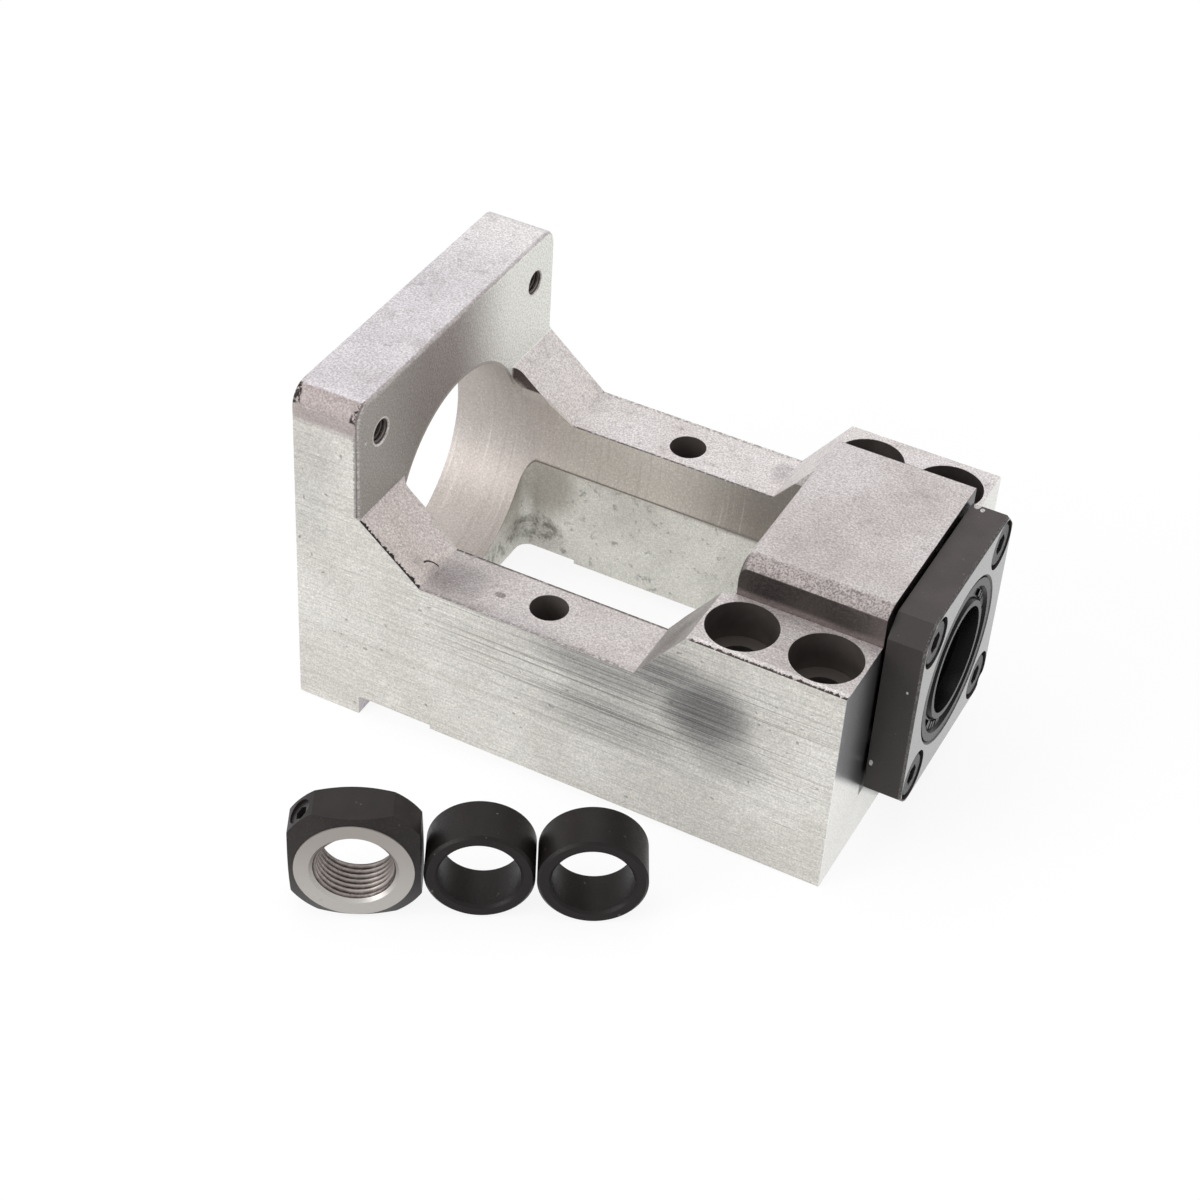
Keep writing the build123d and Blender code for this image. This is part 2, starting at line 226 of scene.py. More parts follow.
def near(value, middle, reach):
    """1 where value lies within reach of middle, with a soft edge."""
    away = calc("ABSOLUTE", minus(value, middle))
    return ramp(away, reach * 0.8, reach * 1.2, 1.0, 0.0)


def blend(kind, share, first, second, method="MIX"):
    """A node that goes from first to second, both of this kind, as share goes from 0 to 1."""
    node = new_node("ShaderNodeMix", share, first, second)
    node.data_type = kind
    if kind == "RGBA":
        node.blend_type = method
    feed(node.inputs["Factor"], share)
    feed(node.inputs["A"], first)
    feed(node.inputs["B"], second)
    return node.outputs["Result"]


def mix(share, first, second):
    """Colour that goes from first to second as share goes from 0 to 1."""
    return blend("RGBA", share, first, second)


def scaled(face, factor):
    """Colour multiplied by a plain factor."""
    return blend("RGBA", 1.0, face, factor, "MULTIPLY")


def mix_value(share, first, second):
    """Value that goes from first to second as share goes from 0 to 1."""
    return blend("FLOAT", share, first, second)


def place_in_mm(tree):
    """The point's place on the piece in millimetres, and the surface's direction there."""
    coordinates = tree.nodes.new("ShaderNodeTexCoord")
    mapping = tree.nodes.new("ShaderNodeMapping")
    mapping.inputs["Scale"].default_value = (1 / MM, 1 / MM, 1 / MM)
    tree.links.new(coordinates.outputs["Object"], mapping.inputs["Vector"])
    return mapping.outputs["Vector"], coordinates.outputs["Normal"]


def vector_step(operation, vector, other=None):
    """One step of arithmetic on a vector and a fixed one."""
    node = new_node("ShaderNodeVectorMath", vector)
    node.operation = operation
    feed(node.inputs[0], vector)
    if other is not None:
        node.inputs[1].default_value = other
    return node.outputs


def stretched(vector, scale):
    """The place with each axis scaled by itself, for a pattern drawn out along an axis."""
    return vector_step("MULTIPLY", vector, scale)["Vector"]


def parts_of(vector):
    """The three values of a vector."""
    node = new_node("ShaderNodeSeparateXYZ", vector)
    feed(node.inputs[0], vector)
    return node.outputs


def noise(vector, size, detail=3.0, roughness=0.55):
    """Cloudy noise from 0 to 1 whose lumps are about size millimetres."""
    node = new_node("ShaderNodeTexNoise", vector)
    feed(node.inputs["Vector"], vector)
    node.inputs["Scale"].default_value = 1 / size
    node.inputs["Detail"].default_value = detail
    node.inputs["Roughness"].default_value = roughness
    return node.outputs["Fac"]


def bump(height, depth):
    """Surface relief of the given depth in millimetres."""
    node = new_node("ShaderNodeBump", height)
    node.inputs["Strength"].default_value = 1.0
    node.inputs["Distance"].default_value = depth * MM
    feed(node.inputs["Height"], height)
    return node.outputs["Normal"]


def blot(first, second, middle, reach):
    """Soft oval mask on two axes: 1 at the middle, 0 beyond the reach along each axis."""
    squares = []
    for value, centre, half in zip((first, second), middle, reach):
        squares.append(calc("POWER", times(minus(value, centre), 1 / half), 2.0))
    return ramp(plus(*squares), 0.0, 1.0, 1.0, 0.0)


def from_axis(place, centre, axis):
    """The place from a centre, how far it lies along an axis there, and its distance from the axis."""
    offset = vector_step("SUBTRACT", place, centre)["Vector"]
    along = vector_step("DOT_PRODUCT", offset, axis)["Value"]
    length = vector_step("LENGTH", offset)["Value"]
    squares = minus(calc("POWER", length, 2.0), calc("POWER", along, 2.0))
    return offset, along, calc("SQRT", calc("MAXIMUM", squares, 0.0))


# Bracket body


def bracket_place(tree):
    """Where a point of the bracket lies, and which way the surface looks there. Its span is measured
    from the middle plane, turned from the shaft's axis, and edge inwards from the long side."""
    place, normal = place_in_mm(tree)
    at = SimpleNamespace(place=place)
    at.x, at.y, at.z = parts_of(place)
    at.normal_x, at.normal_y, at.normal_z = parts_of(normal)
    at.span = calc("ABSOLUTE", at.y)
    at.turned = distance(at.y, at.z)
    at.edge = minus(half_width, at.span)
    at.near_half = ramp(at.y, 0.0, -1.0)
    at.on_ledge = near(at.z, ledge_rise, 0.1)
    return at


def chamber_zones(at, zone):
    """The chamber's bore, the cast walls of the window below it and the lip between the two."""
    before_housing = ramp(at.x, housing_start - 0.2, housing_start, 1.0, 0.0)
    past_flange = ramp(at.x, flange_thickness, flange_thickness + 0.2)
    ledge_top = all_of(near(at.z, ledge_rise, 0.06), ramp(at.normal_z, 0.85, 0.95), past_flange)
    before_wall = ramp(at.x, housing_start - 2.2, housing_start - 1.9, 1.0, 0.0)
    round_wall = near(at.turned, chamber_radius + 0.2, 0.33)
    zone.in_bore = all_of(round_wall, before_housing, before_wall, minus(1.0, ledge_top))

    below_bore = ramp(at.turned, chamber_radius + 0.1, chamber_radius + 0.5)
    inside = ramp(at.span, window_half + 0.05, window_half + 0.2, 1.0, 0.0)
    start = ramp(at.x, flange_thickness, flange_thickness + 1.0)
    stop = ramp(at.x, housing_start - 2.0, housing_start - 1.0, 1.0, 0.0)
    zone.in_window = all_of(below_bore, inside, start, ramp(at.z, -1.0, -3.0), stop)

    lip_inside = ramp(at.turned, chamber_radius + 0.05, chamber_radius + 0.12)
    lip_outside = ramp(at.turned, chamber_radius + 0.24, chamber_radius + 0.16)
    along = all_of(ramp(at.x, flange_thickness + 1.0, flange_thickness + 1.5), before_housing)
    beside_hump = ramp(at.span, hump_half, hump_half + 0.2)
    zone.on_lip = all_of(lip_inside, lip_outside, ramp(at.z, -1.0, -2.0), along, beside_hump)


def flange_zones(at, zone):
    """The upright flange: its body, inner face, cast top corner, top rim and inner upright edge."""
    zone.on_flange = ramp(at.x, flange_thickness + 0.2, flange_thickness + 0.05)
    above_ledge = ramp(at.z, ledge_rise, ledge_rise + 1.0)
    zone.inner_face = all_of(near(at.x, flange_thickness, 0.08), above_ledge)
    rounded = all_of(ramp(at.normal_z, 0.98, 0.93), ramp(at.normal_z, 0.02, 0.15))
    on_near_side = all_of(ramp(at.normal_y, -0.05, -0.2), ramp(at.z, corner_milled - 1.0, corner_milled))
    zone.cast_corner = all_of(zone.on_flange, rounded, on_near_side)
    looks_in_and_up = all_of(ramp(at.normal_x, 0.25, 0.5), ramp(at.normal_z, 0.1, 0.3))
    zone.top_rim = all_of(looks_in_and_up, ramp(at.z, 28.0, 29.0))
    between = all_of(ramp(at.normal_x, 0.15, 0.3), ramp(at.normal_x, 0.97, 0.9))
    zone.upright_edge = all_of(between, zone.on_flange, ramp(at.normal_y, -0.2, -0.35))


def gusset_zones(at, zone):
    """The sloping gussets, and the inner face below the far one."""
    start = ramp(at.x, flange_thickness, flange_thickness + 0.2)
    zone.on_gusset = all_of(start, ramp(at.x, gusset_end, gusset_end - 0.2))
    root = ramp(at.span, gusset_inside - 1.8, gusset_inside - 1.5)
    flat = ramp(at.span, gusset_inside + 0.15, gusset_inside + 0.05)
    far_half = ramp(at.y, 0.0, 1.0)
    zone.under_gusset = all_of(root, flat, ramp(at.normal_z, 0.3, 0.1), zone.on_gusset, far_half)
    fall = (flange_gusset_rise - ledge_rise) / (gusset_end - flange_thickness)
    line = minus(flange_gusset_rise + fall * flange_thickness, times(at.x, fall))
    zone.below_gusset = minus(line, at.z)


def housing_zones(at, zone):
    """The bearing housing: slope before it, shoulders beside the hump, the hump and the end face, with
    painted shade round the cover on the end face.
    """
    start = ramp(at.z, ledge_rise + 0.1, ledge_rise + 0.3)
    past_gusset = ramp(at.x, gusset_end, gusset_end + 1.0)
    zone.on_slope = all_of(start, past_gusset, ramp(at.x, slope_top + 0.05, slope_top - 0.05))
    zone.on_shoulder = all_of(ramp(at.x, slope_top, slope_top + 1.0), near(at.z, shoulder_rise, 0.1))
    on_housing = ramp(at.x, housing_start - 0.2, housing_start)
    zone.on_hump = all_of(on_housing, ramp(at.z, shoulder_rise + 0.1, shoulder_rise + 0.3))
    upright = near(at.span, hump_half, 0.08)
    zone.on_hump_side = all_of(upright, ramp(at.z, shoulder_rise - 0.1, shoulder_rise), on_housing)
    zone.hump_round = all_of(zone.on_hump, ramp(at.normal_y, -0.05, -0.2))
    zone.on_end = ramp(at.x, end_face - 0.1, end_face - 0.03)
    # Painted shade on the end face round the cover
    beside = ramp(at.span, cover_high.y + 0.5, cover_high.y + 0.1)
    zone.behind_cover = all_of(zone.on_end, beside, ramp(at.z, cover_low.z + 0.8, cover_low.z + 1.4))


def upright_holes(at, places, across, radius, rise):
    """The walls of holes drilled down from the face at rise, alike on both sides of the middle."""
    away = [calc("ABSOLUTE", minus(at.x, place)) for place in places]
    nearest = reduce(lambda one, other: calc("MINIMUM", one, other), away)
    from_hole = distance(nearest, minus(at.span, across))
    below_face = ramp(at.z, rise - 0.12, rise - 0.03, 1.0, 0.0)
    return all_of(ramp(from_hole, radius + 0.02, radius + 0.1, 1.0, 0.0), below_face)


def hole_zones(at, zone):
    """The walls of the base holes' counterbores and of the ledge holes."""
    bolt_x = base_bolts["pos_m"][0] / MM
    bolt_step = base_bolts["dims"]["spacing_x_mm"] / 2
    bolt_y = base_bolts["dims"]["spacing_y_mm"] / 2
    bolt_places = (bolt_x - bolt_step, bolt_x + bolt_step)
    in_bolts = upright_holes(at, bolt_places, bolt_y, counterbore_radius, shoulder_rise)
    ledge_places = (ledge_bolts["pos_m"][0] / MM,)
    ledge_y = ledge_bolts["dims"]["spacing_y_mm"] / 2
    ledge_radius = ledge_bolts["dims"]["hole_r_mm"]
    in_ledges = upright_holes(at, ledge_places, ledge_y, ledge_radius, ledge_rise)
    zone.in_holes = any_of(in_bolts, in_ledges)


def machined_zones(at, zone):
    """The milled faces: both long sides, the motor face and the base."""
    zone.on_side = ramp(at.span, half_width - 0.12, half_width - 0.04)
    motor_face = all_of(ramp(at.x, 0.1, 0.03), ramp(at.normal_x, -0.9, -0.98))
    base_face = all_of(ramp(at.z, pad_level + 1.0, pad_level + 0.8), ramp(at.normal_z, -0.9, -0.98))
    zone.machined = any_of(zone.on_side, motor_face, base_face)


def bracket_zones(at):
    """Masks of the kinds of surface on the bracket."""
    zone = SimpleNamespace()
    chamber_zones(at, zone)
    flange_zones(at, zone)
    gusset_zones(at, zone)
    housing_zones(at, zone)
    hole_zones(at, zone)
    machined_zones(at, zone)
    return zone


def bracket_patterns(place):
    """Noises of the bracket: lumps and grain of the casting, specks for painted glints, and the drawn
    lines of its cuts.
    """
    return SimpleNamespace(
        cloud=noise(place, 14.0, 2.0),
        blotch=noise(place, 4.0, 4.0, 0.6),
        grain=noise(place, 0.6, 3.0, 0.6),
        fine=noise(place, 0.32, 2.0, 0.6),
        sparkle=noise(place, 0.28, 1.0, 0.5),
        specks=noise(place, 2.0, 5.0, 0.7),
        dots=noise(place, 1.1, 0.0),
        bands=noise(stretched(place, (0.004, 1.0, 1.0)), 2.5, 2.0, 0.6),
        lines=noise(stretched(place, (0.005, 1.0, 1.0)), 0.38, 4.0, 0.75),
        scratches=noise(stretched(place, (0.02, 1.0, 1.0)), 0.3, 2.0, 0.6),
        brushed=noise(stretched(place, (0.16, 1.0, 1.0)), 0.26, 2.0, 0.6),
        rings=noise(stretched(place, (1.0, 0.03, 0.03)), 0.6, 4.0, 0.65),
        jags=noise(stretched(place, (1.0, 0.0, 0.0)), 0.9, 4.0, 0.7),
        upright_jags=noise(stretched(place, (0.0, 0.0, 1.0)), 0.7, 4.0, 0.7),
    )


def cast_skin(at, zone, pattern):
    """Cast faces, each a little darker on the near half, with clouds, blotches and specks."""
    far = ramp(at.y, -26.0, 26.0)
    flange = mix(ramp(at.y, 4.0, 26.0), colour(201, 196, 199), colour(219, 215, 215))
    skin = mix(far, colour(188, 181, 179), colour(213, 207, 206))
    skin = mix(zone.on_flange, skin, flange)
    skin = mix(zone.on_gusset, skin, mix(far, colour(206, 195, 189), colour(222, 215, 212)))
    skin = mix(zone.on_hump, skin, mix(far, colour(184, 177, 175), colour(194, 187, 186)))
    skin = mix(zone.on_slope, skin, mix(far, colour(134, 130, 126), colour(212, 206, 205)))
    near_ledge = near(at.z, ledge_rise, 0.6)
    for middle, reach, share in ledge_stains:
        stain = all_of(blot(at.x, at.y, middle, reach), near_ledge)
        skin = mix(times(stain, share), skin, colour(146, 139, 139))
    skin = mix(ramp(pattern.cloud, 0.35, 0.65, 0.0, 0.25), skin, colour(232, 228, 230))
    skin = mix(ramp(pattern.blotch, 0.5, 0.72, 0.0, 0.35), skin, colour(164, 156, 155))
    return mix(ramp(pattern.specks, 0.62, 0.7, 0.0, 0.4), skin, colour(132, 124, 122))


def rounded_edges(at, zone, pattern, skin):
    """Rounded edges, darker and rougher, with burnt spots at the flange's top corner. The flange's top
    corner is darkened with painted shade, and the hump's rounding is dark as cast, with painted shade
    deepening as it turns to the side.
    """
    # Painted shade on the flange's rounded top corner
    skin = mix(zone.cast_corner, skin, colour(170, 160, 158))
    spots = any_of(*(blot(at.x, at.z, *spot) for spot in corner_spots))
    spots = all_of(ramp(spots, 0.0, 0.5), ramp(pattern.grain, 0.4, 0.52), zone.cast_corner)
    skin = mix(spots, skin, colour(48, 42, 40))
    # The hump's rounding: dark as cast, with painted shade deepening as it turns from the top to the
    # side
    fall = mix(ramp(at.normal_z, 0.95, 0.3), colour(160, 152, 150), colour(88, 82, 81))
    skin = mix(zone.hump_round, skin, fall)
    pits = all_of(zone.hump_round, ramp(pattern.fine, 0.46, 0.6, 0.0, 0.5))
    skin = mix(pits, skin, colour(100, 94, 92))
    return mix(all_of(zone.top_rim, ramp(at.y, 14.0, 8.0, 0.4, 0.8)), skin, colour(178, 170, 168))


def flange_inside(at, zone, skin):
    """The flange's inner face: painted shade, darkest in the middle, and painted light at the far side;
    pale round its holes. The face below the far gusset carries a painted shadow next to the gusset and
    is pale further down."""
    # Painted shade across the inner face, giving way to painted light at the far side
    tone = mix(ramp(at.y, -28.0, -8.0), colour(190, 185, 180), colour(162, 154, 151))
    tone = mix(ramp(at.y, -3.0, 17.0), tone, colour(245, 245, 239))
    skin = mix(zone.inner_face, skin, tone)
    from_tap = distance(minus(calc("ABSOLUTE", at.z), tap_step), minus(at.span, tap_step))
    burr = all_of(zone.inner_face, near(from_tap, tap_radius + 0.22, 0.16))
    skin = mix(burr, skin, colour(240, 236, 232))
    nicks = any_of(*(blot(at.y, at.z, *nick) for nick in flange_nicks))
    skin = mix(all_of(zone.inner_face, ramp(nicks, 0.2, 0.6)), skin, colour(226, 222, 218))
    # Painted shadow under the far gusset, fading further down
    tone = mix(ramp(zone.below_gusset, 1.6, 3.6), colour(84, 74, 70), colour(190, 184, 176))
    return mix(zone.under_gusset, skin, tone)


def gusset_flaws(at, zone, pattern, skin):
    """A short bent crack, pale nicks and a dark spot round the foot of the near gusset."""
    from_bend = distance(minus(at.x, crack_centre[0]), minus(at.y, crack_centre[1]))
    shown = ramp(blot(at.x, at.y, *crack_shown), 0.1, 0.35)
    crack = all_of(near(from_bend, crack_bend, 0.12), shown, zone.on_gusset)
    skin = mix(crack, skin, colour(58, 52, 50))
    nicks = all_of(blot(at.x, at.y, *gusset_nick), ramp(pattern.grain, 0.46, 0.54))
    skin = mix(all_of(nicks, zone.on_gusset), skin, colour(220, 214, 211))
    spot = ramp(blot(at.x, at.y, *ledge_spot), 0.1, 0.5)
    return mix(all_of(spot, at.on_ledge), skin, colour(150, 142, 140))


def burred_edges(at, zone, pattern, skin):
    """Burrs and dark marks along the outer and inner edges of the cast faces."""
    width = minus(times(pattern.jags, 3.2), 1.05)
    burr = ramp(minus(at.edge, width), -0.1, 0.05, 1.0, 0.0)
    marked = any_of(zone.on_gusset, all_of(zone.on_shoulder, ramp(pattern.jags, 0.36, 0.46)))
    upward = ramp(at.normal_z, 0.3, 0.5)
    strip = all_of(near(at.edge, 1.0, 0.35), zone.on_shoulder, at.near_half)
    skin = mix(times(strip, 0.5), skin, colour(232, 227, 225))
    tone = mix(zone.on_shoulder, colour(40, 36, 35), colour(66, 57, 54))
    skin = mix(all_of(marked, at.near_half, upward, burr), skin, tone)
    rugged = all_of(ramp(at.edge, 0.9, 0.3), ramp(pattern.grain, 0.44, 0.56, 0.0, 0.6), at.on_ledge)
    skin = mix(rugged, skin, colour(112, 105, 103))
    by_bore = ramp(at.turned, chamber_radius + 0.5, chamber_radius + 0.2)
    worn = all_of(by_bore, at.on_ledge, ramp(pattern.grain, 0.36, 0.5, 0.35, 1.0))
    skin = mix(worn, skin, colour(96, 89, 86))
    tone = mix(ramp(at.normal_x, 0.5, 0.75), colour(124, 116, 113), colour(214, 208, 206))
    tone = mix(ramp(pattern.upright_jags, 0.4, 0.6, 0.0, 0.5), tone, colour(128, 120, 117))
    return mix(zone.upright_edge, skin, tone)


def milled_face(at, zone, pattern):
    """Milled faces: pale, with fine long lines, grey patches on the near side and a rough edge at the
    flange.
    """
    face = mix(ramp(pattern.cloud, 0.35, 0.65), colour(222, 220, 214), colour(212, 209, 203))
    face = mix(ramp(pattern.bands, 0.5, 0.75, 0.0, 0.35), face, colour(186, 182, 174))
    streaked = plus(times(blot(at.x, at.z, *milling_streaks), 0.75), 0.25)
    face = mix(all_of(streaked, ramp(pattern.lines, 0.5, 0.62)), face, colour(158, 155, 150))
    face = mix(all_of(streaked, ramp(pattern.lines, 0.44, 0.34)), face, colour(236, 235, 231))
    face = mix(ramp(pattern.scratches, 0.66, 0.76, 0.0, 0.7), face, colour(140, 137, 132))
    patches = (times(blot(at.x, at.z, middle, reach), share) for middle, reach, share in side_dark_patches)
    side_dark_patch = any_of(*patches)
    side_dark_patch = all_of(side_dark_patch, ramp(pattern.lines, 0.35, 0.6, 0.65, 1.0), ramp(at.normal_y, -0.5, -0.9))
    face = mix(times(side_dark_patch, 0.92), face, colour(98, 98, 100))
    face = mix(ramp(pattern.dots, 0.8, 0.84, 0.0, 0.6), face, colour(120, 117, 112))
    from_edge = minus(minus(flange_thickness, at.x), times(pattern.upright_jags, 1.6))
    above_gusset = ramp(at.z, flange_gusset_rise, flange_gusset_rise + 0.5)
    ragged = all_of(ramp(from_edge, 0.1, -0.1), zone.on_flange, above_gusset)
    face = mix(times(ragged, 0.6), face, colour(120, 113, 110))
    wavy = plus(at.z, times(pattern.blotch, 3.0))
    unmilled = ramp(at.z, corner_milled - 0.6, corner_milled + 1.4)
    unmilled = all_of(zone.on_side, ramp(wavy, corner_milled + 0.4, corner_milled + 2.0), unmilled)
    return mix(unmilled, face, colour(172, 162, 159))


def bored_face(at, pattern):
    """The chamber's turned bore with painted shade, darker next to the flange, towards the housing and
    low down near the flange, and faint tool rings.
    """
    # Painted shade: darker next to the flange and towards the housing, and on the bore's lower part near
    # the flange
    face = mix(ramp(at.x, flange_thickness, 26.0), colour(190, 183, 178), colour(216, 210, 202))
    face = mix(ramp(at.x, 36.0, 58.0), face, colour(138, 132, 125))
    low = all_of(ramp(at.z, -4.0, -14.0), ramp(at.x, 26.0, 14.0))
    face = mix(low, face, colour(180, 172, 167))
    face = mix(ramp(pattern.rings, 0.5, 0.7, 0.0, 0.25), face, colour(150, 143, 138))
    return mix(ramp(pattern.rings, 0.42, 0.3, 0.0, 0.3), face, colour(226, 221, 217))


def window_face(at, pattern):
    """The window's cast walls: pale and specked, with painted shade on the wall next to the flange,
    deepest in the corner there, where the specks break it up.
    """
    face = mix(ramp(pattern.cloud, 0.35, 0.65), colour(236, 235, 228), colour(218, 217, 210))
    face = mix(ramp(pattern.specks, 0.56, 0.68, 0.0, 0.7), face, colour(146, 145, 138))
    # Painted shade on the wall next to the flange
    face = mix(blot(at.x, at.z, *window_shade), face, colour(186, 182, 174))
    # Painted shade in the corner by the flange, broken up by the wall's dark specks
    stain = blot(at.x, at.z, *window_corner_shade)
    stain = all_of(stain, ramp(pattern.specks, 0.45, 0.6, 0.2, 0.8))
    return mix(stain, face, colour(126, 123, 115))


def shaded_hump_wall(at):
    """The hump's upright wall, darkened with painted shade, with a painted reflection lightening its
    foot and its end towards the cover.
    """
    # Painted shade on the wall, with a painted reflection at its foot and towards the cover
    low = ramp(at.z, shoulder_rise + 1.6, shoulder_rise + 0.6)
    face = mix(low, colour(70, 63, 61), colour(118, 108, 106))
    return mix(ramp(at.x, 80.0, 91.0, 0.0, 0.5), face, colour(126, 117, 114))


def end_of_housing(at, pattern):
    """The milled end: pale below, its tone raised with painted light, and a painted shadow of the cover
    over the upper part beside the cover, darkest next to it.
    """
    # Painted light: the end face's tone raised to near white
    face = mix(ramp(pattern.cloud, 0.3, 0.7), colour(250, 249, 245), colour(240, 239, 235))
    # Painted shadow of the cover over the upper part of the end, darkest next to the cover
    height = plus(at.z, times(at.y, 0.98))
    cover_shadow = all_of(ramp(height, -33.2, -31.0), at.near_half)
    cover_shadow_tone = mix(ramp(at.y, -26.0, -18.5), colour(164, 165, 167), colour(92, 91, 92))
    return mix(cover_shadow, face, cover_shadow_tone)


def hole_wall(at, pattern):
    """The drilled holes, darkened with painted shade, a little lighter at the counterbores' floor."""
    wall = mix(ramp(pattern.blotch, 0.35, 0.65), colour(90, 83, 80), colour(78, 72, 69))
    return mix(ramp(at.z, ledge_rise + 6.0, ledge_rise + 3.4, 0.0, 0.6), wall, colour(116, 108, 104))


def bracket_colour(at, zone, pattern):
    """All kinds of surface laid over each other, then broken up by fine light and dark grain and by
    small painted glints.
    """
    skin = cast_skin(at, zone, pattern)
    skin = rounded_edges(at, zone, pattern, skin)
    skin = flange_inside(at, zone, skin)
    skin = gusset_flaws(at, zone, pattern, skin)
    skin = burred_edges(at, zone, pattern, skin)
    face = mix(zone.machined, skin, milled_face(at, zone, pattern))
    face = mix(zone.in_bore, face, bored_face(at, pattern))
    face = mix(zone.in_window, face, window_face(at, pattern))
    face = mix(zone.on_lip, face, colour(134, 128, 120))
    face = mix(zone.on_hump_side, face, shaded_hump_wall(at))
    face = mix(zone.on_end, face, end_of_housing(at, pattern))
    # Painted shade on the end face round the cover
    face = mix(zone.behind_cover, face, colour(52, 48, 46))
    calm = any_of(zone.on_hump_side, zone.on_end, zone.in_bore, zone.in_window)
    cast_grain = ramp(pattern.fine, 0.32, 0.68, 1.18, 0.78)
    milled_grain = ramp(pattern.fine, 0.32, 0.68, 1.12, 0.86)
    milled_grain = times(milled_grain, ramp(pattern.brushed, 0.3, 0.7, 1.06, 0.92))
    speckle = mix_value(zone.machined, cast_grain, milled_grain)
    speckle = mix_value(times(calm, 0.5), speckle, 1.0)
    face = scaled(face, speckle)
    # Small bright specks: painted glints
    face = scaled(face, ramp(pattern.sparkle, 0.42, 0.3, 1.0, 1.2))
    return mix(zone.in_holes, face, hole_wall(at, pattern))


def bracket_gloss(zone, pattern):
    """Roughness: matt on the cast faces and in the holes, glossier where it is milled."""
    gloss = ramp(pattern.grain, 0.3, 0.7, 0.46, 0.62)
    gloss = mix_value(zone.machined, gloss, ramp(pattern.lines, 0.3, 0.7, 0.4, 0.52))
    gloss = mix_value(zone.in_bore, gloss, 0.52)
    gloss = mix_value(zone.on_end, gloss, 0.3)
    return mix_value(any_of(zone.cast_corner, zone.in_holes), gloss, 0.66)


def bracket_relief(zone, pattern):
    """Relief: lumps and grain on the cast faces, fine lines on the milled and bored ones. Each kind
    is brought to the same middle height, so that no step shows where two of them meet."""
    cast = plus(minus(pattern.grain, 1.3), times(pattern.blotch, 1.6))
    milled = minus(plus(times(pattern.lines, 0.35), times(pattern.fine, 0.25)), 0.3)
    bored = minus(plus(times(pattern.rings, 0.1), times(pattern.fine, 0.2)), 0.15)
    smooth = minus(times(pattern.fine, 0.1), 0.05)
    height = mix_value(zone.machined, cast, milled)
    height = mix_value(zone.in_bore, height, bored)
    return mix_value(any_of(zone.on_end, zone.in_holes), height, smooth)


def bracket_material():
    """Plated casting: rough cast faces, brushed milled sides, turned bores, drilled holes darkened with
    painted shade.
    """
    material, tree, shader = new_material("cast_and_milled_body")
    at = bracket_place(tree)
    zone = bracket_zones(at)
    pattern = bracket_patterns(at.place)
    feed(shader.inputs["Base Color"], bracket_colour(at, zone, pattern))
    shader.inputs["Metallic"].default_value = 0.6
    feed(shader.inputs["Roughness"], bracket_gloss(zone, pattern))
    feed(shader.inputs["Normal"], bump(bracket_relief(zone, pattern), 0.14))
    return material


# Black pieces, rubber and bearing steel


def black_oxide_material(name, top, side, gloss):
    """Blackened steel: dark brown, with painted light making it lighter where it looks up, pale dust and
    a little cloud.
    """
    material, tree, shader = new_material(name)
    place, normal = place_in_mm(tree)
    normal_z = parts_of(normal)["Z"]
    cloud = noise(place, 5.0, 3.0)
    grain = noise(place, 0.3, 3.0, 0.6)
    dust = noise(place, 0.9, 2.0, 0.5)
    # Painted light: the top tone where the surface looks up, the side tone where it looks sideways
    face = mix(ramp(normal_z, 0.2, 0.8), colour(side, side - 4, side - 5), colour(top, top - 5, top - 5))
    face = mix(ramp(cloud, 0.35, 0.65, 0.0, 0.4), face, colour(side - 8, side - 11, side - 11))
    face = mix(ramp(dust, 0.72, 0.78, 0.0, 0.5), face, colour(128, 122, 118))
    feed(shader.inputs["Base Color"], face)
    shader.inputs["Metallic"].default_value = 0.2
    shader.inputs["Specular IOR Level"].default_value = gloss
    feed(shader.inputs["Roughness"], ramp(grain, 0.3, 0.7, 0.36, 0.5))
    feed(shader.inputs["Normal"], bump(grain, 0.02))
    return material


